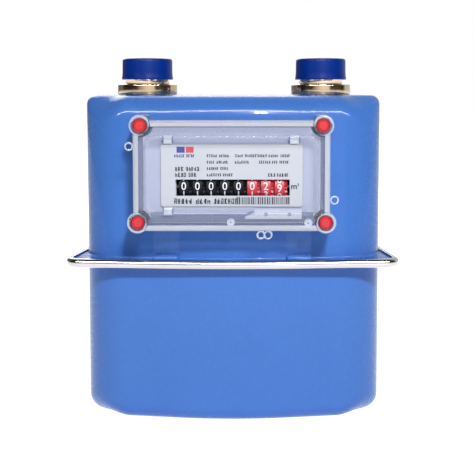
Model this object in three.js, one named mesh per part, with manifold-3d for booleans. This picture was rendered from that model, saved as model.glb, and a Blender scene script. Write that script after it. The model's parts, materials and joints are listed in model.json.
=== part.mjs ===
// Domestic diaphragm gas meter with a two-shell steel case, two threaded connections on top,
// a clear sealed index cover on the front, and the measuring unit inside.
// Millimetres, +Z up, the dial faces -Y. The base stands on z = 0.

import * as THREE from 'three';
import { mergeVertices } from 'three/addons/utils/BufferGeometryUtils.js';
import Module from 'manifold-3d';

const wasm = await Module();
wasm.setup();

// ---- driving dimensions -------------------------------------------------------------------

const GAP = 0.3;                  // clearance kept between neighbouring pieces
const CONNECTION_SPACING = 110;   // between the axes of the inlet and the outlet
const CONNECTION_Y = 12.7;        // the connection plane, behind the middle of the overall depth
const CASE_TOP = 193.5;
const JOINT_Z = 95.7;             // middle of the crimped joint between the two shells
const SHEET = 1.4;                // case wall
const FLANGE_THICKNESS = 1.0;
const GASKET_THICKNESS = 0.4;
const BAND_WALL = 0.9;
const BAND_LIP = 2.2;             // how far the band reaches inward over the flanges
const BAND_OUT = 1.6;             // how far it stands outside them

// Plan outlines as corners [x, y, radius] from the front middle round to the rear; the left side
// mirrors the right. y is measured from the connection plane.
const CASE_CORNERS = [[0, -67.1, 250], [91, -52.7, 30], [83.5, 62, 24]];
const FLANGE_CORNERS = [[0, -76, 400], [97.8, -64.6, 9], [91.8, -14, 60], [89.6, 67, 24]];
const UPPER_RADII = { side: 5, front: 13, corner: 14 };      // edge round the closed end of each shell
const LOWER_RADII = { side: 9, front: 9, corner: 15 };
const PAD = { x: 39, halfLength: 7.5, y: -65.8, back: -61, radius: 2.1, top: 4.9 };   // ridges on the flange

const COLLAR = { radius: 18.7, height: 6.4, bevel: 0.5 };
const THREAD = { major: 15.1, relief: 13.75, reliefHeight: 3.2, length: 11.7, bore: 11 };
const SHANK = { radius: 14, reach: 11 };     // threaded part inside the case, down from the locknut's top
const LOCKNUT = { radius: 21, height: 7 };
const WASHER = { radius: 20, thickness: 1.2 };
const CAP = { radius: 16.2, height: 13.4, lift: 3.1, roof: 1.2, clearance: 0.2, rim: 1.6, step: 0.3 };

// The index box stands on the case front; its places are measured from the middle of its face.
const INDEX_CENTRE = { y: -90, z: 149.7 };
const COVER = { halfWidth: 55.3, low: -32.1, high: 30.1, wall: 1.6, face: 2, boss: 6, corner: 4 };
const COVER_SCREWS = { topX: 51.3, bottomX: 52.8, z: 27.3, columnDepth: 8 };
const WINDOW = { halfWidth: 48.4, low: -22.5, high: 22.1, rise: 4, wall: 1.6, corner: 5 };
const EYE = { radius: 2.6, hole: 1.5, front: 1, back: 3 };   // sealing-wire eyes on the cover's edge
const EYE_PLACES = [[-57.4, 15.5], [57.6, -14.6], [16.4, -34.2], [20.4, -34.2]];
const SCREW = { head: 2.6, headFront: 3.2, headBack: 5.2, shank: 1.5, depth: 8 };
const PLUG = { radius: 4.2, front: 0.2, back: 2.4, dish: 2.6, dishDepth: 0.6 };
const BASE = { front: 8.6, floor: 1.4, gasket: 1.2, back: 42, web: 9, screwDepth: 9 };
const GASKET_RING = { halfWidth: 45, low: -28, high: 26, width: 5 };      // between the base and the case
const CAVITY = { halfWidth: 47, low: -26, high: 24 };        // room for the register in the base
const CARRIER = { front: 7, halfWidth: 50, low: -28, high: 26 };         // plate that the dial stands on
const CARRIER_OPENING = { left: -34, right: 38, low: -18, high: 9 };     // lets the number wheels through
const DIAL = { halfWidth: 40.1, z: -1.05, halfHeight: 17.65, y: 5.5, thickness: 0.6 };
const DIAL_SLOT = { left: -31.7, right: 32.7, halfHeight: 4.6 };
const WHEELS = { count: 8, black: 5, pitch: 7.73, x: 0.85, z: -7.9, y: 14.6, radius: 8.2, width: 5.8 };
const DRUM_SHIFT = 0.9;           // the drum sits this far left of the wheel's middle, beside its ring
const CHEEKS = { left: -33.2, right: 38.9, front: 10.8, back: 18.6, thickness: 1.6 };    // bearing plates
const RING = { teeth: 20, radius: 6.9, depth: 0.9, width: 1.5 };
const PINION = { teeth: 8, radius: 2.9, depth: 0.9, drop: 10 };
const ARBOR_RISE = 12.5;          // transfer arbor above the number-wheel shaft
const SHAFT_RADIUS = 1.0;

const CRANK_AXIS = { y: -4, bevelZ: 160.9 };
const CRANK = { stem: 2, disc: 11, discBottom: 108, discTop: 111, pin: 1.6, pinTop: 117, throw: 8 };
const BEVEL = { radius: 9, height: 4, teeth: 12, depth: 1.1, offset: 9.6 };
const INDEX_SHAFT = { radius: 1.5, front: -79.6, gland: 4 };
const WORM = { teeth: 3, radius: 2.4, depth: 0.7, length: 7, front: -79.3 };
const WORM_WHEEL = { teeth: 20, radius: 3.9, depth: 0.5, halfWidth: 1.5 };
const DRIVE_PINION = { teeth: 16, radius: 5.3, depth: 0.8 };
const BRIDGE = { top: 130, x: 26, leg: 2, halfDepth: 6, roof: 3, bearing: 9 };
const CHAMBER = { x: 30, y: 46, bottom: 2.2, top: 90, z: 48, radius: 36, wall: 2 };
const CHAMBER_COVER = { depth: 30, sheet: 1.6, clear: 1.6 };
const DIAPHRAGM = { thickness: 0.8, fold: 4.2, clear: 0.4 };
const DISC = { inset: 9.5, thickness: 1.6, lugHalf: 2.5, lugDepth: 6, lugLow: 8, lugHigh: 14 };
const TABLE = { halfX: 58, halfY: 44, bottom: 90.4, top: 94.4 };
const FLAG = { x: 16, y: -31, rod: 2, reach: 28 };
const FLAG_ARM = { bottom: 118.5, top: 121, length: 13, halfWidth: 2.4 };
const FLAG_BLADE = { halfThickness: 1.2, below: 12, above: 5 };
const VALVE = { x: 41, y: 8, halfX: 11, halfY: 9, height: 8, wall: 2, ceiling: 3, land: 3 };
const PORT = { halfX: 9, halfY: 2.2, spacing: 9, duct: 5 };
const OUTLET = { x: 0, y: 27, radius: 9, duct: 11, bore: 9.4 };

// ---- materials ----------------------------------------------------------------------------

const finish = (color, roughness, metalness, opacity = 1) =>
  new THREE.MeshStandardMaterial({ color, roughness, metalness, opacity, transparent: opacity < 1 });

const FINISHES = {
  casePaint: () => finish(0x4f80d8, 0.28, 0.1),
  bandSteel: () => finish(0xb4aeaa, 0.3, 1),
  rubber: () => finish(0x1c1c1e, 0.8, 0),
  zincYellow: () => finish(0xb79a5c, 0.3, 1),
  capPlastic: () => finish(0x0c2f90, 0.4, 0),
  clearPlastic: () => finish(0xe8eef4, 0.08, 0, 0.3),
  sealRed: () => finish(0xd83a40, 0.45, 0),
  dialWhite: () => finish(0xe2e4f0, 0.5, 0),
  wheelBlack: () => finish(0x141416, 0.5, 0),
  wheelRed: () => finish(0xd2384a, 0.5, 0),
  greyPlastic: () => finish(0x9aa0ac, 0.5, 0),
  whitePlastic: () => finish(0xd9dbe0, 0.5, 0),
  steel: () => finish(0xa8a9ac, 0.35, 1),
  brass: () => finish(0xb08d4c, 0.35, 1),
  diaphragm: () => finish(0x3a3a3c, 0.85, 0),
};

// ---- solids -------------------------------------------------------------------------------

/** A closed three.js geometry as a solid that can be joined and cut. */
function solid(geometry) {
  const bare = new THREE.BufferGeometry();
  bare.setAttribute('position', geometry.getAttribute('position').clone());
  if (geometry.index) bare.setIndex(geometry.index.clone());
  const merged = mergeVertices(bare, 1e-4);
  return new wasm.Manifold(new wasm.Mesh({
    numProp: 3,
    vertProperties: Float32Array.from(merged.attributes.position.array),
    triVerts: Uint32Array.from(merged.index.array),
  }));
}

/** The solid's surface as a three.js geometry. */
function surface(body) {
  const mesh = body.getMesh();
  const geometry = new THREE.BufferGeometry();
  geometry.setAttribute('position', new THREE.BufferAttribute(mesh.vertProperties, 3));
  geometry.setIndex(new THREE.BufferAttribute(mesh.triVerts, 1));
  geometry.computeVertexNormals();
  return geometry;
}

const join = (...bodies) => bodies.reduce((whole, body) => whole.add(body));
const cut = (body, ...tools) => tools.reduce((rest, tool) => rest.subtract(tool), body);

/** A box given by its low and high corners. */
function box(x0, x1, y0, y1, z0, z1) {
  const geometry = new THREE.BoxGeometry(x1 - x0, y1 - y0, z1 - z0);
  geometry.translate((x0 + x1) / 2, (y0 + y1) / 2, (z0 + z1) / 2);
  return solid(geometry);
}

/** A round bar along an axis, from `from` to `to` on it, centred at (a, b) across it. */
function bar(axis, radius, from, to, a = 0, b = 0, sides = 20, farRadius = radius) {
  const geometry = new THREE.CylinderGeometry(farRadius, radius, to - from, sides);
  const middle = (from + to) / 2;
  if (axis === 'x') geometry.rotateZ(-Math.PI / 2).translate(middle, a, b);
  if (axis === 'y') geometry.translate(a, middle, b);
  if (axis === 'z') geometry.rotateX(Math.PI / 2).translate(a, b, middle);
  return solid(geometry);
}

/** A turned piece about the Z axis from its [radius, height] profile. */
function turned(profile, sides) {
  const points = profile.map(([radius, height]) => new THREE.Vector2(radius, height));
  if (THREE.ShapeUtils.area(points) < 0) points.reverse();
  const closed = points[0].x === 0 ? points : [...points, points[0].clone()];
  return new THREE.LatheGeometry(closed, sides).rotateX(Math.PI / 2);
}

/** A flat shape given depth upward from z0. */
function plate(shape, z0, thickness, curveSegments = 8) {
  const geometry = new THREE.ExtrudeGeometry(shape, { depth: thickness, bevelEnabled: false, curveSegments });
  return solid(geometry.translate(0, 0, z0));
}

/** A flat shape in the index's own x-z plane, from y0 back to y1. */
function panel(shape, y0, y1, curveSegments = 3) {
  const geometry = new THREE.ExtrudeGeometry(shape, { depth: y1 - y0, bevelEnabled: false, curveSegments });
  return solid(geometry.rotateX(Math.PI / 2).translate(0, y1, 0));
}

function roundedRectangle(x0, x1, z0, z1, radius) {
  const shape = new THREE.Shape();
  shape.moveTo(x0 + radius, z0);
  shape.lineTo(x1 - radius, z0);
  shape.absarc(x1 - radius, z0 + radius, radius, -Math.PI / 2, 0);
  shape.absarc(x1 - radius, z1 - radius, radius, 0, Math.PI / 2);
  shape.absarc(x0 + radius, z1 - radius, radius, Math.PI / 2, Math.PI);
  shape.absarc(x0 + radius, z0 + radius, radius, Math.PI, 1.5 * Math.PI);
  return shape;
}

/** A toothed disc about the X axis, with pointed teeth that reach `radius`. */
function gearAlongX({ teeth, radius, depth }, x0, x1) {
  const shape = new THREE.Shape();
  for (let tooth = 0; tooth < teeth; tooth += 1) {
    [0, 1].forEach((tip) => {
      const angle = ((tooth + tip / 2) / teeth) * 2 * Math.PI;
      const reach = tip ? radius : radius - depth;
      const draw = tooth + tip === 0 ? 'moveTo' : 'lineTo';
      shape[draw](reach * Math.cos(angle), reach * Math.sin(angle));
    });
  }
  const geometry = new THREE.ExtrudeGeometry(shape, { depth: x1 - x0, bevelEnabled: false });
  return solid(geometry.rotateY(Math.PI / 2).translate(x0, 0, 0));
}

// ---- plan outlines and drawn shells -------------------------------------------------------

/** Points with outward normals round a mirrored polygon whose corners are rounded. */
function planOutline(corners, offset = 0, step = 18) {
  const right = corners.map(([x, y, radius]) => ({ x, y, radius }));
  const left = right.slice(1).reverse().map((corner) => ({ ...corner, x: -corner.x }));
  const ring = [...right, ...left];
  return ring.flatMap((corner, index) => {
    const before = ring[(index + ring.length - 1) % ring.length];
    const after = ring[(index + 1) % ring.length];
    const inward = new THREE.Vector2(corner.x - before.x, corner.y - before.y).normalize();
    const onward = new THREE.Vector2(after.x - corner.x, after.y - corner.y).normalize();
    const turn = Math.acos(THREE.MathUtils.clamp(inward.dot(onward), -1, 1));
    const bulge = corner.radius * Math.sign(inward.cross(onward));   // negative where the outline is hollow
    const startAngle = Math.atan2(-inward.x, inward.y);
    const setback = corner.radius * Math.tan(turn / 2);
    const centreX = corner.x - inward.x * setback - inward.y * bulge;
    const centreY = corner.y - inward.y * setback + inward.x * bulge;
    const pieces = Math.max(1, Math.ceil(turn / THREE.MathUtils.degToRad(corner.radius > 100 ? 4.5 : step)));
    return Array.from({ length: pieces + 1 }, (_, piece) => {
      const angle = startAngle + (Math.sign(bulge) * turn * piece) / pieces;
      const normal = { x: Math.cos(angle), y: Math.sin(angle) };
      const reach = bulge + offset;
      return { x: centreX + normal.x * reach, y: centreY + normal.y * reach, normal };
    });
  });
}

const outlineShape = (corners, offset) =>
  new THREE.Shape(planOutline(corners, offset).map(({ x, y }) => new THREE.Vector2(x, y)));

/** Edge radius of a drawn shell: small on the sides, larger in front, largest round the front corners. */
function edgeRadius(normal, { side, front, corner }) {
  const forward = Math.max(0, -normal.y);
  const diagonal = (2 * forward * Math.abs(normal.x)) ** 2;
  return side + (front - side) * forward ** 2 + (corner - side) * diagonal;
}

/** The solid filling a drawn shell from its open rim to its closed end, moved inward by `inset`. */
function drawnForm(rim, end, radii, inset, steps) {
  const outline = planOutline(CASE_CORNERS, -inset);
  const toEnd = Math.sign(end - rim);
  const positions = [];
  const addRing = (place) => outline.forEach((point) => {
    const { inward, z } = place(point);
    positions.push(point.x - point.normal.x * inward, point.y - point.normal.y * inward, z);
  });
  addRing(() => ({ inward: 0, z: rim }));
  for (let step = 0; step <= steps; step += 1) {
    const angle = (step / steps) * (Math.PI / 2);
    addRing(({ normal }) => {
      const radius = Math.max(edgeRadius(normal, radii) - inset, 1);
      return { inward: radius * (1 - Math.cos(angle)), z: end - toEnd * radius * (1 - Math.sin(angle)) };
    });
  }
  const count = outline.length;
  const rings = steps + 2;
  positions.push(0, 0, rim, 0, 0, end);
  const triangles = [];
  const addTriangle = (a, b, c) => triangles.push(...(toEnd > 0 ? [a, b, c] : [a, c, b]));
  for (let point = 0; point < count; point += 1) {
    const next = (point + 1) % count;
    for (let ring = 0; ring < rings - 1; ring += 1) {
      const low = ring * count;
      addTriangle(low + point, low + next, low + count + next);
      addTriangle(low + point, low + count + next, low + count + point);
    }
    addTriangle(rings * count, next, point);
    addTriangle(rings * count + 1, (rings - 1) * count + point, (rings - 1) * count + next);
  }
  const geometry = new THREE.BufferGeometry();
  geometry.setAttribute('position', new THREE.Float32BufferAttribute(positions, 3));
  geometry.setIndex(triangles);
  return solid(geometry);
}

const caseKeepOut = drawnForm(JOINT_Z, CASE_TOP, UPPER_RADII, 0, 3);
const halfGasket = GASKET_THICKNESS / 2;
const flangeInner = halfGasket + GAP;                 // joint plane to the flange's inner face
const flangeOuter = flangeInner + FLANGE_THICKNESS;
const connectionX = CONNECTION_SPACING / 2;

/** One steel shell with its flange; `up` is 1 for the upper shell and -1 for the lower. */
function shell(up, end, radii) {
  const rim = JOINT_Z + up * flangeInner;
  const outer = drawnForm(rim, end, radii, 0, 3);
  const inner = drawnForm(rim - up, end - up * SHEET, radii, SHEET, 2);
  const flangeBottom = Math.min(rim, rim + up * FLANGE_THICKNESS);
  const flange = plate(outlineShape(FLANGE_CORNERS, 0), flangeBottom, FLANGE_THICKNESS);
  return cut(join(outer, flange), inner);
}

/** Embossed ridge on the front flange, run back into the case wall. */
function flangePad(side) {
  const { x, halfLength, y, back, radius, top } = PAD;
  const crown = JOINT_Z + top;
  const [left, right] = [side * x - halfLength, side * x + halfLength];
  return join(bar('x', radius, left, right, y, crown - radius, 16),
    box(left, right, y, back, crown - 2 * radius, crown));
}

function upperCase() {
  const pads = [-1, 1].map(flangePad);
  const inner = drawnForm(JOINT_Z, CASE_TOP - SHEET, UPPER_RADII, SHEET, 2);
  const connectionHoles = [-1, 1].map((side) =>
    bar('z', SHANK.radius + GAP, CASE_TOP - 10, CASE_TOP + 5, side * connectionX, 0, 24));
  const glandHole = bar('y', INDEX_SHAFT.gland + GAP, -75, -55, 0, CRANK_AXIS.bevelZ);
  return cut(join(shell(1, CASE_TOP, UPPER_RADII), ...pads.map((pad) => cut(pad, inner))),
    ...connectionHoles, glandHole);
}

/** A flat ring between two offsets of the flange outline. */
function flangeRing(outerOffset, innerOffset, z0, thickness) {
  return cut(plate(outlineShape(FLANGE_CORNERS, outerOffset), z0, thickness),
    plate(outlineShape(FLANGE_CORNERS, innerOffset), z0 - 1, thickness + 2));
}

function clampBand() {
  const slotHalf = flangeOuter + GAP;
  const half = slotHalf + BAND_WALL;
  const edge = 0.8;
  const body = join(flangeRing(BAND_OUT, -BAND_LIP, JOINT_Z - half + edge, 2 * (half - edge)),
    flangeRing(BAND_OUT - edge, -BAND_LIP, JOINT_Z - half, 2 * half));
  return cut(body, flangeRing(GAP, -BAND_LIP - 1, JOINT_Z - slotHalf, 2 * slotHalf));
}

// ---- connections --------------------------------------------------------------------------

const collarTop = CASE_TOP + GAP + COLLAR.height;
const stubTop = collarTop + THREAD.length;
const nutTop = CASE_TOP - SHEET - 2 * GAP - WASHER.thickness;
const shankBottom = nutTop - SHANK.reach;

/** Collar, threaded stub and shank in one turned piece with a through bore. */
function connectionBoss() {
  const { radius, bevel } = COLLAR;
  const relief = collarTop + THREAD.reliefHeight;
  const collarBottom = CASE_TOP + GAP;
  return turned([
    [THREAD.bore, shankBottom], [SHANK.radius, shankBottom], [SHANK.radius, collarBottom],
    [radius - bevel, collarBottom], [radius, collarBottom + bevel],
    [radius, collarTop - bevel], [radius - bevel, collarTop],
    [THREAD.relief, collarTop], [THREAD.relief, relief], [THREAD.major, relief + 1],
    [THREAD.major, stubTop - 1], [THREAD.major - 1, stubTop], [THREAD.bore, stubTop],
  ], 20);
}

/** Push-on dust cap, open below, with a lip at its mouth. */
function dustCap() {
  const mouth = collarTop + CAP.lift;
  const top = mouth + CAP.height;
  const inner = THREAD.major + CAP.clearance;
  const upper = CAP.radius - CAP.step;
  return turned([
    [inner, mouth], [CAP.radius, mouth], [CAP.radius, mouth + CAP.rim], [upper, mouth + 2 * CAP.rim],
    [upper, top - 1], [0, top], [0, top - CAP.roof], [inner, top - CAP.roof],
  ], 20);
}

/** Hexagon locknut under the case top. */
function locknut() {
  const hole = bar('z', SHANK.radius + 0.2, nutTop - LOCKNUT.height - 2, nutTop + 2, 0, 0, 24);
  return cut(bar('z', LOCKNUT.radius, nutTop - LOCKNUT.height, nutTop, 0, 0, 6), hole);
}

function sealingWasher() {
  const inner = SHANK.radius + 0.2;
  const bottom = nutTop + GAP;
  const top = bottom + WASHER.thickness;
  return turned([[inner, bottom], [WASHER.radius, bottom], [WASHER.radius, top], [inner, top]], 24);
}

// ---- index, in its own frame: x right, z up, y from the face back into the meter ------------

const screwPlaces = [[-1, 1], [1, 1], [-1, -1], [1, -1]].map(([sideX, sideZ]) =>
  ({ x: sideX * (sideZ > 0 ? COVER_SCREWS.topX : COVER_SCREWS.bottomX), z: sideZ * COVER_SCREWS.z, sideX }));

/** The case's outside seen from the index frame, moved forward by `ahead`, for cutting index pieces. */
const caseAhead = (ahead) => caseKeepOut.translate([0, -INDEX_CENTRE.y - ahead, -INDEX_CENTRE.z]);

/** The cover's outline, shrunk by `inset`. */
const coverOutline = (inset) => roundedRectangle(inset - COVER.halfWidth, COVER.halfWidth - inset,
  COVER.low + inset, COVER.high - inset, COVER.corner);

/** The cover's outline with round corner posts, shrunk by `inset`, from y0 back to y1. */
function postedBlock(inset, post, y0, y1) {
  const posts = screwPlaces.map(({ x, z }) => bar('y', post, y0, y1, x, z, 12));
  return join(panel(coverOutline(inset), y0, y1), ...posts);
}

const sealingEye = ([x, z]) =>
  cut(bar('y', EYE.radius, EYE.front, EYE.back, x, z, 12), bar('y', EYE.hole, 0, EYE.back + 1, x, z, 8));

/** Clear cover: a skirted box with a raised window, four screw columns and sealing eyes. */
function indexCover() {
  const { wall, face, boss } = COVER;
  const skirt = cut(postedBlock(0, boss, 0, BASE.back), postedBlock(wall, boss - 1.1, face, BASE.back + 1));
  const windowPanel = (inset, y0, y1) => panel(roundedRectangle(inset - WINDOW.halfWidth,
    WINDOW.halfWidth - inset, WINDOW.low + inset, WINDOW.high - inset, WINDOW.corner), y0, y1);
  const columns = screwPlaces.map(({ x, z }) => bar('y', boss - 0.5, 1, COVER_SCREWS.columnDepth, x, z, 14));
  const bores = screwPlaces.flatMap(({ x, z }) => [
    bar('y', 4.5, -1, 2.6, x, z, 16), bar('y', 2.9, 2.5, 5.6, x, z, 12), bar('y', 1.9, 5.5, 10, x, z, 10)]);
  const body = cut(join(skirt, windowPanel(0, -WINDOW.rise, 1), ...columns),
    windowPanel(WINDOW.wall, WINDOW.wall - WINDOW.rise, face + 1), ...bores);
  return cut(join(body, ...EYE_PLACES.map(sealingEye)), caseAhead(GAP));
}

/** Mounting base: a tray whose back follows the case front, with a post for each cover screw. */
function indexBase() {
  const { wall, boss } = COVER;
  const { front, floor, gasket, back, web, screwDepth } = BASE;
  const corners = screwPlaces.map(({ x, z }) => bar('y', boss + 1, 0, 50, x, z, 14));
  const block = cut(panel(coverOutline(wall + GAP), front, back), ...corners);
  const posts = screwPlaces.map(({ x, z }) => bar('y', boss - 1.1 - GAP, front, back, x, z, 12));
  const webs = screwPlaces.map(({ x, z, sideX }) =>
    box(Math.min(x, x - sideX * web), Math.max(x, x - sideX * web), front + 4, back, z - 1, z + 1));
  const cavityOutline = roundedRectangle(-CAVITY.halfWidth, CAVITY.halfWidth, CAVITY.low, CAVITY.high, 3);
  const cavity = cut(panel(cavityOutline, front, back), caseAhead(gasket + floor));
  const carrier = panel(roundedRectangle(-CARRIER.halfWidth, CARRIER.halfWidth, CARRIER.low, CARRIER.high, 5),
    CARRIER.front, front + 0.5);
  const opening = box(CARRIER_OPENING.left, CARRIER_OPENING.right, CARRIER.front - 1, front + 1,
    CARRIER_OPENING.low, CARRIER_OPENING.high);
  const threads = screwPlaces.map(({ x, z }) => bar('y', 1.8, front - 1, front + screwDepth, x, z, 10));
  const shaftHole = bar('y', 6.8, 10, 40, 0, CRANK_AXIS.bevelZ - INDEX_CENTRE.z, 16);
  return cut(join(block, ...posts, ...webs, cut(carrier, ...corners)), cavity, opening, caseAhead(gasket),
    shaftHole, ...threads);
}

/** Foam ring between the mounting base and the case front. */
function indexGasket() {
  const { halfWidth, low, high, width } = GASKET_RING;
  const outer = panel(roundedRectangle(-halfWidth, halfWidth, low, high, 4), 4, BASE.back);
  const opening = panel(roundedRectangle(width - halfWidth, halfWidth - width, low + width, high - width, 3),
    3, BASE.back + 1);
  return cut(cut(outer, opening).intersect(caseAhead(BASE.gasket - GAP)), caseAhead(GAP));
}

/** Dial plate with the slot that shows the number wheels. */
function dialPlate() {
  const { halfWidth, z, halfHeight, y, thickness } = DIAL;
  const slot = box(DIAL_SLOT.left, DIAL_SLOT.right, y - 1, y + 2,
    WHEELS.z - DIAL_SLOT.halfHeight, WHEELS.z + DIAL_SLOT.halfHeight);
  const outline = roundedRectangle(-halfWidth, halfWidth, z - halfHeight, z + halfHeight, 1);
  return cut(panel(outline, y, y + thickness), slot);
}

const wheelX = (index) => WHEELS.x + (index - (WHEELS.count - 1) / 2) * WHEELS.pitch;

/** A number wheel about its own axis: drum on the left, twenty-tooth ring on the right. */
function numberWheel() {
  const ringStart = WHEELS.width / 2 - DRUM_SHIFT;
  const drum = bar('x', WHEELS.radius, ringStart - WHEELS.width, ringStart, 0, 0, 16);
  const ring = gearAlongX(RING, ringStart - 0.1, ringStart + RING.width);
  return cut(join(drum, ring), bar('x', SHAFT_RADIUS + 0.25, -10, 10, 0, 0, 8));
}

/** Eight-tooth carry pinion between two wheels. */
function carryPinion() {
  const start = WHEELS.width / 2 - 0.6;
  const teeth = gearAlongX(PINION, start, start + RING.width - 0.3);
  return cut(teeth, bar('x', SHAFT_RADIUS + 0.25, -10, 10, 0, 0, 8));
}

/** Bearing frame: two end cheeks joined by a rail under the wheels. */
function registerFrame() {
  const { left, right, front, back, thickness } = CHEEKS;
  const pinionZ = WHEELS.z - PINION.drop;
  const cheek = (x) => box(x, x + thickness, front, back, pinionZ - 4, WHEELS.z + ARBOR_RISE + 3);
  const rail = box(left + 1, right + 0.6, back - 2.3, back, pinionZ - 7.5, pinionZ - 3.6);
  const holes = [WHEELS.z, WHEELS.z - PINION.drop, WHEELS.z + ARBOR_RISE].map((z) =>
    bar('x', SHAFT_RADIUS + GAP, -60, 60, WHEELS.y, z, 12));
  return cut(join(cheek(left), cheek(right), rail), ...holes);
}

/** Arbor carrying the worm wheel at its middle and the driving pinion at its right end. */
function transferArbor() {
  const drive = wheelX(WHEELS.count - 1) + WHEELS.width / 2 - 0.5;
  return join(bar('x', SHAFT_RADIUS, CHEEKS.left, CHEEKS.right + 1.8, 0, 0, 12),
    gearAlongX(WORM_WHEEL, -WORM_WHEEL.halfWidth, WORM_WHEEL.halfWidth),
    gearAlongX(DRIVE_PINION, drive, drive + RING.width - 0.3));
}

// ---- measuring unit -----------------------------------------------------------------------

/** Bevel gear about Z: teeth on a cone from the wide end at z = 0 to the narrow end above. */
function bevelGear() {
  const { radius, height } = BEVEL;
  const gear = gearAlongX(BEVEL, 0, height).rotate([0, -90, 0]);
  return gear.intersect(bar('z', radius + 0.01, 0, height, 0, 0, 24, radius - height));
}

/** Driving shaft through the case front: bevel gear inside, three-start worm outside. */
function indexShaft() {
  const gearFace = CRANK_AXIS.y - BEVEL.offset;
  const gear = bevelGear().rotate([-90, 0, 0]).translate([0, gearFace, 0]);
  const rod = bar('y', INDEX_SHAFT.radius, INDEX_SHAFT.front, gearFace + 0.6, 0, 0, 12);
  const worm = gearAlongX(WORM, 0, WORM.length).rotate([0, 0, 90]).translate([0, WORM.front, 0]);
  return join(rod, worm, gear);
}

/** Stuffing gland that seals the driving shaft where it passes the case. */
function shaftGland() {
  const flange = bar('y', 6.4, -66.4, -64.4, 0, 0, 16);
  const sleeve = bar('y', INDEX_SHAFT.gland, -65, -58.5, 0, 0, 16);
  return cut(join(flange, sleeve), bar('y', INDEX_SHAFT.radius + GAP, -80, -50, 0, 0, 12));
}

/** Vertical crank: pin disc above the valve table and bevel gear at the top. */
function crank() {
  const { y, bevelZ } = CRANK_AXIS;
  const { stem, disc, discBottom, discTop, pin, pinTop, throw: reach } = CRANK;
  return join(bar('z', stem, TABLE.top + 0.4, bevelZ - 6, 0, 0, 14),
    bar('z', disc, discBottom, discTop, 0, 0, 28),
    bar('z', pin, discTop - 0.5, pinTop, 0, -reach, 12),
    bevelGear().translate([0, 0, bevelZ - BEVEL.offset])).translate([0, y, 0]);
}

/** Bridge over the valve table that carries the upper bearing of the crank. */
function crankBridge() {
  const { y } = CRANK_AXIS;
  const { top, x, leg, halfDepth, roof, bearing } = BRIDGE;
  const legs = [-1, 1].map((side) =>
    box(side * x - leg, side * x + leg, y - halfDepth, y + halfDepth, TABLE.top + GAP, top));
  const beam = box(-x - leg, x + leg, y - halfDepth, y + halfDepth, top - roof, top);
  return cut(join(...legs, beam), bar('z', CRANK.stem + GAP, top - bearing, top + roof, 0, y, 16));
}

/** Valve table: port grids for the two slide valves and the outlet port behind the crank. */
function valveTable() {
  const { halfX, halfY, bottom, top } = TABLE;
  const ports = [-1, 1].flatMap((side) => [-1, 0, 1].map((place) => {
    const [x, y] = [side * VALVE.x, VALVE.y + place * PORT.spacing];
    return box(x - PORT.halfX, x + PORT.halfX, y - PORT.halfY, y + PORT.halfY, bottom - 1, top + 1);
  }));
  const rodHoles = [-1, 1].map((side) =>
    bar('z', FLAG.rod + GAP, bottom - 1, top + 1, side * FLAG.x, FLAG.y, 14));
  const outlet = bar('z', OUTLET.radius, bottom - 1, top + 1, OUTLET.x, OUTLET.y, 20);
  const plateShape = outlineShape([[0, -halfY, 1], [halfX, -halfY, 6], [halfX, halfY, 6]], 0);
  return cut(plate(plateShape, bottom, top - bottom), ...ports, ...rodHoles, outlet);
}

/** D-shaped slide valve: an upturned tray that covers two of its three ports. */
function slideValve(side) {
  const { y, halfX, halfY, height, wall, ceiling, land } = VALVE;
  const x = side * VALVE.x;
  const bottom = TABLE.top + GAP;
  return cut(box(x - halfX, x + halfX, y - halfY, y + halfY, bottom, bottom + height),
    box(x - halfX + wall, x + halfX - wall, y - halfY + land, y + halfY - land,
      bottom - 1, bottom + height - ceiling));
}

/** Duct from the outlet port up to the outlet connection. */
function outletDuct() {
  const { x, y, duct, bore } = OUTLET;
  const end = shankBottom - GAP;
  const path = new THREE.CatmullRomCurve3([[x, y, TABLE.top + GAP], [x, y, 108],
    [connectionX / 2, 18, 135], [connectionX, 0, 160], [connectionX, 0, end]]
    .map((point) => new THREE.Vector3(...point)));
  const circle = (radius) => new THREE.Shape().absarc(0, 0, radius, 0, 2 * Math.PI);
  const tube = (radius) => solid(new THREE.ExtrudeGeometry(circle(radius),
    { extrudePath: path, steps: 7, curveSegments: 5 }));
  return cut(tube(duct), tube(bore), bar('z', bore, TABLE.top - 1, TABLE.top + 2, x, y, 16),
    bar('z', bore, end - 3, end + 2, connectionX, 0, 16));
}

/** Double-sided chamber block: a centre wall with a round chamber on each side. */
function chamberHousing() {
  const { x, y, bottom, top, z, radius, wall } = CHAMBER;
  const upright = (hole, low, high, side, across) => bar('z', hole, low, high, side * FLAG.x, across, 14);
  const recesses = [-1, 1].map((side) =>
    bar('x', radius, side > 0 ? wall : -x - 1, side > 0 ? x + 1 : -wall, 0, z, 28));
  const rodHoles = [-1, 1].map((side) => upright(FLAG.rod + GAP, bottom + 4, top + 1, side, FLAG.y));
  const ports = [-1, 1].map((side) => upright(PORT.duct, z, top + 1, side, VALVE.y));
  return cut(box(-x, x, -y, y, bottom, top), ...recesses, ...rodHoles, ...ports);
}

/** A turned ring or dish stood on the side of the chamber block, its axis pointing outward. */
const onChamber = (profile, sides, side, clear) => solid(turned(profile, sides))
  .rotate([0, side * 90, 0]).translate([side * (CHAMBER.x + clear), 0, CHAMBER.z]);

/** Outer chamber cover: a shallow pressed dish with a clamping rim. */
function chamberCover(side) {
  const { radius } = CHAMBER;
  const { depth, sheet, clear } = CHAMBER_COVER;
  const inner = radius - sheet;
  return onChamber([[0, depth], [radius - 10, depth], [radius, depth - 10], [radius, 2], [radius + 5, 2],
    [radius + 5, 0], [inner, 0], [inner, depth - 10.6], [radius - 10.7, depth - sheet], [0, depth - sheet]],
  24, side, clear);
}

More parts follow.
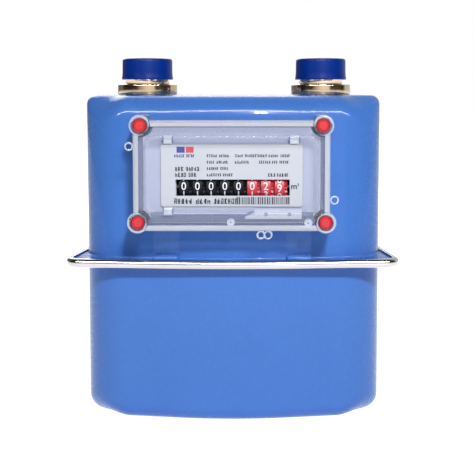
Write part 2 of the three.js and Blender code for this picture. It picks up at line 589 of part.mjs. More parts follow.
/** Convoluted ring of coated fabric clamped between block and cover. */
function diaphragmRing(side) {
  const { radius } = CHAMBER;
  const { thickness, fold, clear } = DIAPHRAGM;
  const underFold = fold - thickness;
  return onChamber([[radius + 4.6, 0], [radius + 4.6, thickness], [radius - 2.2, thickness],
    [radius - 4.5, fold], [radius - 7, fold], [radius - 9, thickness], [radius - 9, 0], [radius - 7.6, 0],
    [radius - 6.4, underFold], [radius - 5.1, underFold], [radius - 2.8, 0]], 22, side, clear);
}

/** Stiff disc in the middle of the diaphragm with the bracket that the flag pushes. */
function diaphragmDisc(side) {
  const { x, z, radius } = CHAMBER;
  const { inset, thickness, lugHalf, lugDepth, lugLow, lugHigh } = DISC;
  const face = x + DIAPHRAGM.clear;
  const disc = bar('x', radius - inset, face, face + thickness, 0, z, 32);
  const bracket = box(face - lugDepth, face + 0.2, -lugHalf, lugHalf, z + lugLow, z + lugHigh);
  const right = join(disc, bracket);
  return side > 0 ? right : right.mirror([1, 0, 0]);
}

/** Flag rod about its own vertical axis: flag below the table, crank arm above it. */
function flagRod(side) {
  const { bottom, top, length, halfWidth } = FLAG_ARM;
  const { halfThickness, below, above } = FLAG_BLADE;
  const { z } = CHAMBER;
  return join(bar('z', FLAG.rod, CHAMBER.bottom + 5, top, 0, 0, 14),
    box(-halfThickness, halfThickness, 0, FLAG.reach, z - below, z + above),
    box(side > 0 ? -length : 0, side > 0 ? 0 : length, -halfWidth, halfWidth, bottom, top));
}

// ---- assembly -----------------------------------------------------------------------------

const meter = new THREE.Group();
meter.position.y = CONNECTION_Y;
const index = new THREE.Group();
index.position.set(0, INDEX_CENTRE.y, INDEX_CENTRE.z);
meter.add(index);

/** Adds one named piece to a group, at a place in it. */
function add(group, name, body, finishName, x = 0, y = 0, z = 0) {
  const geometry = body.isBufferGeometry ? body : surface(body);
  const mesh = new THREE.Mesh(geometry, FINISHES[finishName]());
  mesh.name = name;
  mesh.position.set(x, y, z);
  group.add(mesh);
}

add(meter, 'upper_case', upperCase(), 'casePaint');
add(meter, 'lower_case', shell(-1, 0, LOWER_RADII), 'casePaint');
add(meter, 'case_gasket', flangeRing(-0.4, -4, JOINT_Z - halfGasket, GASKET_THICKNESS), 'rubber');
add(meter, 'clamp_band', clampBand(), 'bandSteel');

[['inlet', -connectionX], ['outlet', connectionX]].forEach(([name, x]) => {
  add(meter, `${name}_boss`, connectionBoss(), 'zincYellow', x);
  add(meter, `${name}_locknut`, locknut(), 'steel', x);
  add(meter, `${name}_washer`, sealingWasher(), 'rubber', x);
  add(meter, `${name}_cap`, dustCap(), 'capPlastic', x);
});

add(index, 'index_cover', indexCover(), 'clearPlastic');
add(index, 'index_base', indexBase(), 'greyPlastic');
add(index, 'index_gasket', indexGasket(), 'rubber');
add(index, 'dial_plate', dialPlate(), 'dialWhite');
add(index, 'register_frame', registerFrame(), 'whitePlastic');
for (let wheel = 0; wheel < WHEELS.count; wheel += 1) {
  const colour = wheel < WHEELS.black ? 'wheelBlack' : 'wheelRed';
  add(index, `number_wheel_${wheel + 1}`, numberWheel(), colour, wheelX(wheel), WHEELS.y, WHEELS.z);
}
for (let wheel = 0; wheel < WHEELS.count - 1; wheel += 1) {
  add(index, `carry_pinion_${wheel + 1}`, carryPinion(), 'whitePlastic',
    wheelX(wheel), WHEELS.y, WHEELS.z - PINION.drop);
}
const shaftStart = CHEEKS.left + 0.2;
const shaftEnd = CHEEKS.right + 1.4;
[['wheel_shaft', WHEELS.z], ['pinion_shaft', WHEELS.z - PINION.drop]].forEach(([name, z]) =>
  add(index, name, bar('x', SHAFT_RADIUS, shaftStart, shaftEnd, 0, 0, 12), 'steel', 0, WHEELS.y, z));
add(index, 'transfer_arbor', transferArbor(), 'brass', 0, WHEELS.y, WHEELS.z + ARBOR_RISE);
screwPlaces.forEach(({ x, z }, number) => {
  const screw = join(bar('y', SCREW.head, SCREW.headFront, SCREW.headBack, 0, 0, 14),
    bar('y', SCREW.shank, SCREW.headBack - 0.2, BASE.front + SCREW.depth, 0, 0, 10));
  const plug = cut(bar('y', PLUG.radius, PLUG.front, PLUG.back, 0, 0, 18),
    bar('y', PLUG.dish, -1, PLUG.front + PLUG.dishDepth, 0, 0, 14));
  add(index, `cover_screw_${number + 1}`, screw, 'steel', x, 0, z);
  add(index, `seal_plug_${number + 1}`, plug, 'sealRed', x, 0, z);
});

add(meter, 'index_shaft', indexShaft(), 'steel', 0, 0, CRANK_AXIS.bevelZ);
add(meter, 'shaft_gland', shaftGland(), 'brass', 0, 0, CRANK_AXIS.bevelZ);
add(meter, 'crank', crank(), 'whitePlastic');
add(meter, 'crank_bridge', crankBridge(), 'greyPlastic');
add(meter, 'valve_table', valveTable(), 'greyPlastic');
add(meter, 'outlet_duct', outletDuct(), 'whitePlastic');
add(meter, 'chamber_housing', chamberHousing(), 'greyPlastic');
[['left', -1], ['right', 1]].forEach(([name, side]) => {
  add(meter, `${name}_slide_valve`, slideValve(side), 'whitePlastic');
  add(meter, `${name}_chamber_cover`, chamberCover(side), 'whitePlastic');
  add(meter, `${name}_diaphragm`, diaphragmRing(side), 'diaphragm');
  add(meter, `${name}_diaphragm_disc`, diaphragmDisc(side), 'steel');
  add(meter, `${name}_flag_rod`, flagRod(side), 'steel', side * FLAG.x, FLAG.y, 0);
});

export default meter;
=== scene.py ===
import json
import math
import random

import bmesh
import bpy
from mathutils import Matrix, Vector


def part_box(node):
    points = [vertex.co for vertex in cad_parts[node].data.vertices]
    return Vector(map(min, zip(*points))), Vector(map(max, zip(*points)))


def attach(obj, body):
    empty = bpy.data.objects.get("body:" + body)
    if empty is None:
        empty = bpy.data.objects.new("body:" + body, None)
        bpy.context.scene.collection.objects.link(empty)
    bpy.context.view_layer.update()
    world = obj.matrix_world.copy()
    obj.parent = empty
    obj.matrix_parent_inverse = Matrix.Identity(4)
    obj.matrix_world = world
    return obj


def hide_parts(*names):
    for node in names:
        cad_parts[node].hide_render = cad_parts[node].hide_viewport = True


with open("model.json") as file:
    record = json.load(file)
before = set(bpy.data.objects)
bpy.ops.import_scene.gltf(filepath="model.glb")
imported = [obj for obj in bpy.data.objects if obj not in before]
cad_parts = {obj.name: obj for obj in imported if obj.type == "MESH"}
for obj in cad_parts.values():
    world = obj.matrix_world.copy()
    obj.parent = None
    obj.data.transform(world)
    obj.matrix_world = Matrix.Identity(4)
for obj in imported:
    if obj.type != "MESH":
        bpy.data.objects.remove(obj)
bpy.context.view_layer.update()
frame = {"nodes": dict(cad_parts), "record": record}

MM = 0.001                       # every size below is in millimetres
AXIS = 0.01                      # nearest that a turned profile comes to its axis

# ---- driving dimensions, the ones that the CAD frame doesn't give -----------------------------

CASE_CORNERS = [(0, -67.1, 250), (91, -52.7, 30), (83.5, 62, 24)]
FLANGE_CORNERS = [(0, -76, 400), (97.7, -64.6, 9), (91.7, -14, 60), (89.5, 67, 24)]
OUTLINE_POINTS = 440
UPPER_EDGE = {"side": 5, "front": 13, "corner": 14}
LOWER_EDGE = {"side": 9, "front": 9, "corner": 15}
SHEET = 1.4
FLANGE = 1.0
FLANGE_FILLET = 1.6              # between a shell's wall and its flange
FLANGE_EDGE = 0.35
HALF_GASKET = 0.2
CLEARANCE = 0.3
PAD = {"x": 39, "half": 7.5, "y": -65.8, "back": -59.5, "radius": 2.1, "top": 4.9}
BAND_WALL = 0.9
BAND_LIP = 2.2
BAND_OUT = 1.6
BAND_CORNER = 2.45
GLAND_HOLE = 4.3

THREAD_MAJOR = 15.1
THREAD_RELIEF = 13.75
THREAD_PITCH = 1.814             # G 7/8 pipe thread, 14 turns to the inch
BORE = 11
SHANK = 14
COLLAR = 18.7
COLLAR_HEIGHT = 6.4
COLLAR_EDGE = 0.6
RELIEF_HEIGHT = 3.2

COVER = {"half": 55.3, "low": -32.1, "high": 30.1}
LIP = 3.3                        # lip round the cover's outline, painted whiter as a highlight
WINDOW = {"half": 48.4, "low": -22.5, "high": 22.1, "rise": 4.0}
COVER_WALL = 1.6
COVER_DEPTH = 42                 # skirt's back edge, before the case is cut out of it
COVER_SCREWS = [(-51.3, 27.3), (51.3, 27.3), (-52.8, -27.3), (52.8, -27.3)]
BOSS = 6.0
CLIPS = [(-38.5, -33.3, 16.9, 21.6), (32.4, 38.1, 16.9, 21.6), (-38.5, -33.3, -23.4, -19)]
LEDGE = [(-33.5, -19), (12.5, -19), (12.5, -20.4), (7.4, -23), (-33.5, -23)]
BRACKET = [(12.9, -20.4), (39.5, -20.4), (39.5, -25.6), (7.4, -25.6), (7.4, -24.6), (12.9, -22)]
# a thin strip under the window in the darker grey: painted shade below the dial
SHADE_STRIP = [(-46, -22), (46, -22), (46, -27.6), (-46, -27.6)]
BRACKET_HOLES = [(19.3, -23), (32.5, -23)]
GATES = [(-0.5, -27.4), (43.2, -27.8)]          # round moulding marks under the dial
COVER_EYES = [(-57.4, 15.5), (57.6, -14.6), (16.4, -34.2), (20.4, -34.2)]
EYE = {"radius": 2.05, "wire": 0.62, "y": 2}
DIAL_SETBACK = 5.5               # dial plate behind the cover's face
DIAL_DROP = 1.05                 # dial centre below the index centre
DIAL_SLOT = {"left": -31.7, "right": 32.7, "half": 4.6}
WHEEL_READING = (0, 0, 0, 0, 0, 0, 2, 8.78)      # the last wheel stands between 8 and 9
WHEEL_LIFT = 0.15                # each wheel stands this share of a digit high
DIGIT_HEIGHT = 4.4
DIGIT_LIFT = 0.015               # gap that keeps the digits' backs off the drum
DIGITS = 10
WHEEL_COUNT = 8
BLACK_WHEELS = 5                 # the other wheels are red
WHEEL_BORE = 1.25
RING_TEETH, RING_TIP, RING_ROOT, RING_WIDTH = 20, 6.9, 6.0, 1.5
EMBLEMS = [(-31, 4.6), (-25.8, 4.4)]             # left edge and width of the two coloured squares
EMBLEM_LOW, EMBLEM_HEIGHT = 11.8, 3.4
PRINT_TOP, PRINT_STEP, PRINT_HEIGHT = 9.3, 3.6, 1.6
PRINT_GROUPS = [                 # start and end of each group of small print, row by row
    [(-14, -5), (1.8, 9), (15.4, 33)],
    [(-14, -5), (1.8, 9), (15.4, 30)],
    [(-14, -4)],
    [(-14, -1)],
]
BARS = {"start": 2.4, "end": 32.4, "low": -17.4, "height": 4.2}
CAMERA_DISTANCE = 700            # from the plane of the two connections
CAMERA_RIGHT = 11.8
CAMERA_ABOVE_CASE = 2.6
CAMERA_TILT = math.radians(4.8)
FOCAL_LENGTH = 83.22
LENS_SHIFT = (-0.033, -0.1138)


def low(node):
    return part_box(node)[0] / MM


def high(node):
    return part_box(node)[1] / MM


def middle(node):
    return (low(node) + high(node)) / 2


CONNECTION_Y = middle("inlet_boss").y
CONNECTION_X = middle("outlet_boss").x
CASE_TOP = high("upper_case").z
JOINT_Z = middle("case_gasket").z
INDEX = Vector((0, low("dial_plate").y - DIAL_SETBACK, middle("dial_plate").z + DIAL_DROP))

# ---- materials --------------------------------------------------------------------------------


def srgb(red, green, blue):
    """A linear colour from the 0 to 255 values of a colour chart."""
    def linear(value):
        share = value / 255
        return share / 12.92 if share <= 0.04045 else ((share + 0.055) / 1.055) ** 2.4
    return (linear(red), linear(green), linear(blue), 1)


def finish(name, colour, second, roughness, metallic=0, stretch=(1, 1, 1), grain=220, bump=0.1, sockets=None):
    """A surface whose colour, roughness and relief vary with noise fixed to the object.

    roughness is (lowest, highest), grain is cycles per metre, and sockets sets more Principled inputs."""
    material = bpy.data.materials.new(name)
    material.use_nodes = True
    nodes, links = material.node_tree.nodes, material.node_tree.links
    shader = nodes["Principled BSDF"]
    shader.inputs["Metallic"].default_value = metallic
    for socket, value in (sockets or {}).items():
        shader.inputs[socket].default_value = value
    place = nodes.new("ShaderNodeTexCoord")
    mapping = nodes.new("ShaderNodeMapping")
    mapping.inputs["Scale"].default_value = stretch
    links.new(place.outputs["Object"], mapping.inputs["Vector"])

    def noise(scale, detail):
        node = nodes.new("ShaderNodeTexNoise")
        node.inputs["Scale"].default_value = scale
        node.inputs["Detail"].default_value = detail
        links.new(mapping.outputs["Vector"], node.inputs["Vector"])
        return node.outputs["Fac"]

    blotches = noise(grain / 12, 4)
    fine = noise(grain, 5)
    mix = nodes.new("ShaderNodeMix")
    mix.data_type = "RGBA"
    mix.inputs["A"].default_value = colour
    mix.inputs["B"].default_value = second
    links.new(blotches, mix.inputs["Factor"])
    links.new(mix.outputs["Result"], shader.inputs["Base Color"])
    spread = nodes.new("ShaderNodeMapRange")
    spread.inputs["To Min"].default_value = roughness[0]
    spread.inputs["To Max"].default_value = roughness[1]
    links.new(fine, spread.inputs["Value"])
    links.new(spread.outputs["Result"], shader.inputs["Roughness"])
    relief = nodes.new("ShaderNodeBump")
    relief.inputs["Strength"].default_value = bump
    relief.inputs["Distance"].default_value = 0.05 * MM
    links.new(fine, relief.inputs["Height"])
    links.new(relief.outputs["Normal"], shader.inputs["Normal"])
    return material


def weave(name, colour, second, threads):
    """Coated fabric: two crossed wave textures give its threads."""
    material = finish(name, colour, second, (0.7, 0.9), grain=800)
    nodes, links = material.node_tree.nodes, material.node_tree.links
    relief = nodes["Bump"]
    place = nodes["Texture Coordinate"]
    crossed = nodes.new("ShaderNodeMath")
    crossed.operation = "MULTIPLY"
    for number, direction in enumerate(("Y", "Z")):
        wave = nodes.new("ShaderNodeTexWave")
        wave.bands_direction = direction
        wave.inputs["Scale"].default_value = threads
        links.new(place.outputs["Object"], wave.inputs["Vector"])
        links.new(wave.outputs["Fac"], crossed.inputs[number])
    relief.inputs["Strength"].default_value = 0.5
    links.new(crossed.outputs["Value"], relief.inputs["Height"])
    return material


PAINT = finish("case_paint", srgb(73, 124, 206), srgb(69, 119, 200), (0.24, 0.3), grain=420, bump=0.03,
               sockets={"Specular IOR Level": 0.08, "Coat Weight": 0.26, "Coat Roughness": 0.04})
BAND_STEEL = finish("band_steel", (0.58, 0.57, 0.59, 1), (0.42, 0.4, 0.41, 1), (0.12, 0.2), 1,
                    (1, 1, 9), bump=0.04)
ZINC = finish("zinc_yellow", (0.78, 0.62, 0.42, 1), (0.58, 0.42, 0.28, 1), (0.1, 0.17), 1,
              (1, 1, 4), bump=0.04)
CAP = finish("cap_plastic", srgb(0, 50, 142), srgb(0, 44, 132), (0.26, 0.32), grain=500, bump=0.04,
             sockets={"Specular IOR Level": 0.14})
CLEAR_FACE = finish("clear_face", srgb(204, 211, 230), srgb(198, 206, 228), (0.04, 0.07), grain=60, bump=0,
                    sockets={"Alpha": 0.07})
CLEAR_RIM = finish("clear_rim", srgb(196, 204, 226), srgb(186, 195, 220), (0.04, 0.08), grain=60, bump=0,
                   sockets={"Alpha": 0.16})
# near white and more opaque: painted highlight on the cover's lip and outer walls
CLEAR_EDGE_HIGHLIGHT = finish("clear_edge_painted_highlight", srgb(234, 238, 247), srgb(224, 229, 241), (0.05, 0.09), grain=60, bump=0,
                    sockets={"Alpha": 0.6})
# darker and greyer: painted shade on the window's raised step
CLEAR_STEP_SHADE = finish("clear_step_painted_shade", srgb(168, 176, 204), srgb(158, 167, 196), (0.05, 0.09), grain=60, bump=0,
                    sockets={"Alpha": 0.4})
SEAL_RED = finish("seal_red", srgb(218, 48, 58), srgb(204, 38, 50), (0.3, 0.4), grain=500)
SEAL_DARK = finish("seal_rim", srgb(150, 20, 34), srgb(132, 14, 28), (0.3, 0.4), grain=500)
DIAL_WHITE = finish("dial_white", srgb(197, 202, 212), srgb(191, 196, 207), (0.45, 0.6), grain=900)
INK = finish("dial_ink", srgb(44, 47, 62), srgb(34, 37, 50), (0.5, 0.65), grain=900)
INK_BLUE = finish("dial_ink_blue", srgb(44, 52, 140), srgb(58, 66, 150), (0.5, 0.65), grain=900)
INK_RED = finish("dial_ink_red", srgb(206, 74, 84), srgb(196, 62, 74), (0.5, 0.65), grain=900)
WHEEL_BLACK = finish("wheel_black", srgb(8, 9, 18), srgb(5, 6, 12), (0.5, 0.6), grain=500, bump=0,
                     sockets={"Specular IOR Level": 0.15})
WHEEL_RED = finish("wheel_red", srgb(200, 44, 62), srgb(186, 36, 52), (0.4, 0.55), grain=500)
DIGIT_WHITE = finish("digit_white", srgb(232, 235, 244), srgb(220, 224, 236), (0.4, 0.55), grain=900)
TRAY = finish("index_tray", srgb(178, 185, 211), srgb(172, 179, 206), (0.45, 0.6), grain=400, bump=0.03)
CLIP_WHITE = finish("clip_white", srgb(226, 231, 243), srgb(218, 224, 240), (0.3, 0.4), grain=400)
# darkened blue-grey: painted shade on the base's sides and small dark marks, seen through the clear cover
BASE_PAINTED_SHADE = finish("index_base", srgb(96, 108, 146), srgb(88, 100, 138), (0.45, 0.6), grain=400, bump=0.03)
GREY = finish("grey_plastic", srgb(158, 164, 176), srgb(142, 148, 160), (0.45, 0.6), grain=400)
WHITE = finish("white_plastic", srgb(218, 220, 226), srgb(206, 208, 214), (0.4, 0.55), grain=400)
STEEL = finish("steel", (0.6, 0.6, 0.61, 1), (0.48, 0.48, 0.5, 1), (0.28, 0.42), 1, (1, 1, 6))
BRASS = finish("brass", (0.66, 0.5, 0.25, 1), (0.56, 0.42, 0.2, 1), (0.25, 0.38), 1, (6, 1, 6))
RUBBER = finish("seal_rubber", srgb(36, 36, 38), srgb(26, 26, 28), (0.7, 0.9), grain=700, bump=0.3)
FABRIC = weave("diaphragm_fabric", srgb(62, 62, 66), srgb(48, 48, 52), 600)

# ---- mesh tools -------------------------------------------------------------------------------


class Shape:
    """Closed bodies gathered in millimetres, each face with a number of its material."""

    def __init__(self):
        self.points = []
        self.faces = []
        self.paints = []

    def add(self, points, faces, paint=0):
        start = len(self.points)
        self.points += [tuple(point) for point in points]
        self.faces += [tuple(start + corner for corner in face) for face in faces]
        self.paints += [paint] * len(faces)
        return self

    def loft(self, rings, paint=0, loop=False):
        """A body through rings of equal count.

        loop joins the last ring to the first, and without it both ends are capped."""
        count = len(rings[0])
        spans = range(len(rings) if loop else len(rings) - 1)
        faces = []
        for span in spans:
            here, there = span * count, ((span + 1) % len(rings)) * count
            for side in range(count):
                after = (side + 1) % count
                faces.append((here + side, here + after, there + after, there + side))
        if not loop:
            faces.append(tuple(range(count)))
            faces.append(tuple((len(rings) - 1) * count + side for side in reversed(range(count))))
        return self.add([point for ring in rings for point in ring], faces, paint)

    def turned(self, profile, centre, axis="z", sides=64, paint=0, loop=True):
        """A body turned about an axis through centre from (radius, distance along the axis) pairs."""
        rings = []
        for radius, along in profile:
            ring = []
            for side in range(sides):
                angle = 2 * math.pi * side / sides
                across, up = radius * math.cos(angle), radius * math.sin(angle)
                offset = {"x": (along, across, up), "y": (across, along, up), "z": (across, up, along)}[axis]
                ring.append(Vector(centre) + Vector(offset))
            rings.append(ring)
        return self.loft(rings, paint, loop)

    def block(self, low_corner, high_corner, round_off=0.0, paint=0):
        """A box with its edges rounded."""
        box = bmesh.new()
        bmesh.ops.create_cube(box, size=1)
        size = Vector(high_corner) - Vector(low_corner)
        centre = (Vector(high_corner) + Vector(low_corner)) / 2
        for vertex in box.verts:
            vertex.co = centre + Vector(a * b for a, b in zip(vertex.co, size))
        if round_off:
            bmesh.ops.bevel(box, geom=box.edges[:], offset=round_off, segments=2, profile=0.5, affect="EDGES")
        box.verts.index_update()
        faces = [[vertex.index for vertex in face.verts] for face in box.faces]
        self.add([vertex.co for vertex in box.verts], faces, paint)
        box.free()
        return self

    def object(self, name, materials, smooth=35):
        """One mesh object of all the bodies, in metres, shaded smooth up to an angle in degrees."""
        mesh = bpy.data.meshes.new(name)
        mesh.from_pydata([tuple(value * MM for value in point) for point in self.points], [], self.faces)
        for material in materials:
            mesh.materials.append(material)
        mesh.polygons.foreach_set("material_index", self.paints)
        tidy(mesh, smooth)
        made = bpy.data.objects.new(name, mesh)
        bpy.context.scene.collection.objects.link(made)
        return made


def tidy(mesh, smooth):
    """Faces pointing out, no doubled points, and smooth shading up to an angle in degrees."""
    work = bmesh.new()
    work.from_mesh(mesh)
    bmesh.ops.remove_doubles(work, verts=work.verts, dist=0.0005 * MM)
    bmesh.ops.recalc_face_normals(work, faces=work.faces)
    work.to_mesh(mesh)
    work.free()
    mesh.shade_smooth()
    mesh.set_sharp_from_angle(angle=math.radians(smooth))


def evaluated_mesh(piece):
    """A new mesh of an object with its modifiers applied."""
    return bpy.data.meshes.new_from_object(piece.evaluated_get(bpy.context.evaluated_depsgraph_get()))


def combine(base, operation, *tools, smooth=35):
    """Joins tool objects to base, or cuts them from it, and removes the tools."""
    for tool in tools:
        modifier = base.modifiers.new("combine", "BOOLEAN")
        modifier.operation = operation
        modifier.solver = "EXACT"
        modifier.object = tool
    bpy.context.view_layer.update()
    result = evaluated_mesh(base)
    base.modifiers.clear()
    base.data = result
    for tool in tools:
        bpy.data.objects.remove(tool)
    tidy(result, smooth)


def even_shading(piece):
    """Weights normals by face area, so that large flat faces stay flat beside rounded edges."""
    modifier = piece.modifiers.new("shading", "WEIGHTED_NORMAL")
    modifier.keep_sharp = True
    bpy.context.view_layer.update()
    result = evaluated_mesh(piece)
    piece.modifiers.clear()
    piece.data = result


def arc(centre, radius, start, end, steps):
    """Points on an arc from one angle to another, in degrees, as (across, along) pairs."""
    angles = [math.radians(start + (end - start) * step / steps) for step in range(steps + 1)]
    return [(centre[0] + radius * math.cos(angle), centre[1] + radius * math.sin(angle)) for angle in angles]


def settle(piece, body, slot, *replaced):
    """Puts a finished piece on its body and hides the nodes that it stands for; the slot argument is not
    used.
    """
    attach(piece, body)
    if replaced:
        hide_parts(*replaced)


# ---- plan outlines ----------------------------------------------------------------------------


def outline(corners):
    """Points and outward normals round a mirrored polygon with rounded corners, evenly spaced by length."""
    ring = [Vector(corner) for corner in corners]
    ring += [Vector((-x, y, radius)) for x, y, radius in reversed(corners[1:])]
    dense = []
    for number, corner in enumerate(ring):
        before, after = ring[number - 1], ring[(number + 1) % len(ring)]
        inward = (corner.xy - before.xy).normalized()
        onward = (after.xy - corner.xy).normalized()
        turn = inward.angle(onward)
        sign = math.copysign(1, inward.cross(onward))
        bulge = corner.z * sign
        setback = corner.z * math.tan(turn / 2)
        centre = corner.xy - inward * setback + Vector((-inward.y, inward.x)) * bulge
        start = math.atan2(-inward.x, inward.y)
        pieces = max(2, math.ceil(math.degrees(turn) / 1.5))
        for piece in range(pieces + 1):
            angle = start + sign * turn * piece / pieces
            normal = Vector((math.cos(angle), math.sin(angle)))
            dense.append((centre + normal * bulge, normal))
    first = min(range(len(dense)), key=lambda number: (abs(dense[number][0].x), dense[number][0].y))
    dense = dense[first:] + dense[:first + 1]
    lengths = [0.0]
    for (here, _), (there, _) in zip(dense, dense[1:]):
        lengths.append(lengths[-1] + (there - here).length)
    points, span = [], 0
    for number in range(OUTLINE_POINTS):
        target = lengths[-1] * number / OUTLINE_POINTS
        while lengths[span + 1] < target:
            span += 1
        share = (target - lengths[span]) / (lengths[span + 1] - lengths[span])
        (here, normal), (there, next_normal) = dense[span], dense[span + 1]
        points.append((here.lerp(there, share), normal.lerp(next_normal, share).normalized()))
    return points


CASE_LINE = outline(CASE_CORNERS)
FLANGE_LINE = outline(FLANGE_CORNERS)


def level(line, offset, z):
    """One ring of an outline moved out by offset, at height z."""
    return [Vector((point.x + normal.x * offset, CONNECTION_Y + point.y + normal.y * offset, z))
            for point, normal in line]


def edge_radius(normal, edge):
    """Radius of a shell's rounded edge, which depends on the way the wall faces."""
    forward = max(0, -normal.y)
    diagonal = (2 * forward * abs(normal.x)) ** 2
    side = edge["side"]
    return side + (edge["front"] - side) * forward ** 2 + (edge["corner"] - side) * diagonal


def drawn_rings(end, up, edge, inset, steps=12):
    """Rings over the rounded edge of a drawn shell, from its wall to just inside its flat end."""
    rings = []
    for step in range(steps + 1):
        angle = math.pi / 2 * step / steps
        ring = []
        for point, normal in CASE_LINE:
            radius = max(edge_radius(normal, edge) - inset, 1)
            place = point - normal * (inset + radius * (1 - math.cos(angle)))
            ring.append(Vector((place.x, CONNECTION_Y + place.y, end - up * radius * (1 - math.sin(angle)))))
        rings.append(ring)
    flat = [Vector((point.x * 0.985, point.y, point.z)) for point in rings[-1]]
    centre_y = sum(point.y for point in flat) / len(flat)
    for point in flat:
        point.y = centre_y + (point.y - centre_y) * 0.985
    return rings + [flat]


def case_shell(name, up, end, edge):
    """One drawn steel shell with its flange, as one closed skin."""
    rim = JOINT_Z + up * (HALF_GASKET + CLEARANCE)
    top = rim + up * FLANGE
    wall = drawn_rings(end, up, edge, 0)
    inner = drawn_rings(end - up * SHEET, up, edge, SHEET)
    rings = list(reversed(wall))
    for across, along in arc((FLANGE_FILLET, FLANGE_FILLET), FLANGE_FILLET, 180, 270, 5):
        rings.append(level(CASE_LINE, across, top + up * along))
    for across, along in arc((-FLANGE_EDGE, FLANGE - FLANGE_EDGE), FLANGE_EDGE, 90, 0, 3):
        rings.append(level(FLANGE_LINE, across, rim + up * along))
    for across, along in arc((-FLANGE_EDGE, FLANGE_EDGE), FLANGE_EDGE, 0, -90, 3):
        rings.append(level(FLANGE_LINE, across, rim + up * along))
    rings.append(level(CASE_LINE, -SHEET, rim))
    return Shape().loft(rings + inner).object(name, [PAINT], smooth=50)


def disc_tool(radius, start, end, centre, axis):
    """A plain cylinder for cutting a round hole."""
    return Shape().turned([(radius, start), (radius, end)], centre, axis, loop=False).object("tool", [])


def make_case():
    upper = case_shell("upper_shell", 1, CASE_TOP, UPPER_EDGE)
    pads = [flange_pad(side) for side in (-1, 1)]
    holes = [disc_tool(SHANK + CLEARANCE, -8, 8, (x, CONNECTION_Y, CASE_TOP), "z")
             for x in (-CONNECTION_X, CONNECTION_X)]
    gland = disc_tool(GLAND_HOLE, -12, 12, (0, low("shaft_gland").y, middle("shaft_gland").z), "y")
    combine(upper, "UNION", *pads, smooth=50)
    combine(upper, "DIFFERENCE", *holes, gland, smooth=50)
    settle(upper, "meter", "case_paint", "upper_case")
    lower = case_shell("lower_shell", -1, 0, LOWER_EDGE)
    settle(lower, "meter", "case_paint", "lower_case")


def flange_pad(side):
    """An embossed ridge that lies on the front flange and runs back into the case wall."""
    y, back = CONNECTION_Y + PAD["y"], CONNECTION_Y + PAD["back"]
    crown, radius = JOINT_Z + PAD["top"], PAD["radius"]
    foot = crown - 2 * radius
    ends = [(across, radius * 0.7 - along) for across, along in arc((0, 0), radius * 0.7, 180, 90, 4)]
    stations = [(-PAD["half"] + radius * 0.7 + across, inset) for across, inset in ends]
    stations += [(-place, inset) for place, inset in reversed(stations)]
    rings = []
    for place, inset in stations:
        round_front = arc((y, crown - radius), radius - inset, 90, 270, 10)
        section = round_front + [(back, foot + inset), (back, crown - inset)]
        rings.append([Vector((side * PAD["x"] + place, depth, height)) for depth, height in section])
    return Shape().loft(rings).object("pad", [])


def make_band():
    """The crimped band: a rolled C section run round the flanges."""
    slot = HALF_GASKET + CLEARANCE + FLANGE + CLEARANCE
    half = slot + BAND_WALL
    tip = BAND_WALL / 2
    section = arc((BAND_OUT - BAND_CORNER, half - BAND_CORNER), BAND_CORNER, 90, 0, 8)
    section += arc((BAND_OUT - BAND_CORNER, BAND_CORNER - half), BAND_CORNER, 0, -90, 8)
    section += arc((tip - BAND_LIP, -half + tip), tip, -90, -270, 6)
    section += [(CLEARANCE - 0.4, -slot), (CLEARANCE, 0.4 - slot)]
    section += [(CLEARANCE, slot - 0.4), (CLEARANCE - 0.4, slot)]
    section += arc((tip - BAND_LIP, half - tip), tip, 270, 90, 6)
    rings = [level(FLANGE_LINE, across, JOINT_Z + along) for across, along in section]
    band = Shape().loft(rings, loop=True).object("crimped_band", [BAND_STEEL], smooth=50)
    settle(band, "meter", "band_steel", "clamp_band")


# ---- connections ------------------------------------------------------------------------------


def make_boss(name, x):
    """Collar, thread run-out neck and a stub whose thread is a stack of rings, not a helix."""
    collar_low = CASE_TOP + CLEARANCE
    collar_top = collar_low + COLLAR_HEIGHT
    neck_top = collar_top + RELIEF_HEIGHT
    top = high(f"{name}_boss").z
    bottom = low(f"{name}_boss").z
    profile = [(BORE, bottom), (SHANK - 0.5, bottom), (SHANK, bottom + 0.5), (SHANK, collar_low),
               (COLLAR - COLLAR_EDGE, collar_low)]
    profile += arc((COLLAR - COLLAR_EDGE, collar_low + COLLAR_EDGE), COLLAR_EDGE, -90, 0, 4)
    profile += arc((COLLAR - COLLAR_EDGE, collar_top - COLLAR_EDGE), COLLAR_EDGE, 0, 90, 4)
    profile += [(THREAD_RELIEF + 0.5, collar_top), (THREAD_RELIEF, collar_top + 0.5),
                (THREAD_RELIEF, neck_top)]
    turns = int((top - 1 - neck_top) / THREAD_PITCH)
    start = top - 0.8 - turns * THREAD_PITCH
    for turn in range(turns):
        base = start + turn * THREAD_PITCH
        profile += [(THREAD_MAJOR - 1.1, base), (THREAD_MAJOR, base + 0.5 * THREAD_PITCH - 0.15),
                    (THREAD_MAJOR, base + 0.5 * THREAD_PITCH + 0.15)]
    profile += [(THREAD_MAJOR - 1.1, top - 0.8), (THREAD_MAJOR - 1.4, top - 0.3), (THREAD_MAJOR - 1.7, top),
                (BORE + 0.6, top), (BORE, top - 0.6)]
    stub = Shape().turned(profile, (x, CONNECTION_Y, 0), sides=96).object(f"{name}_connection", [ZINC])
    settle(stub, "meter", "zinc_yellow", f"{name}_boss")


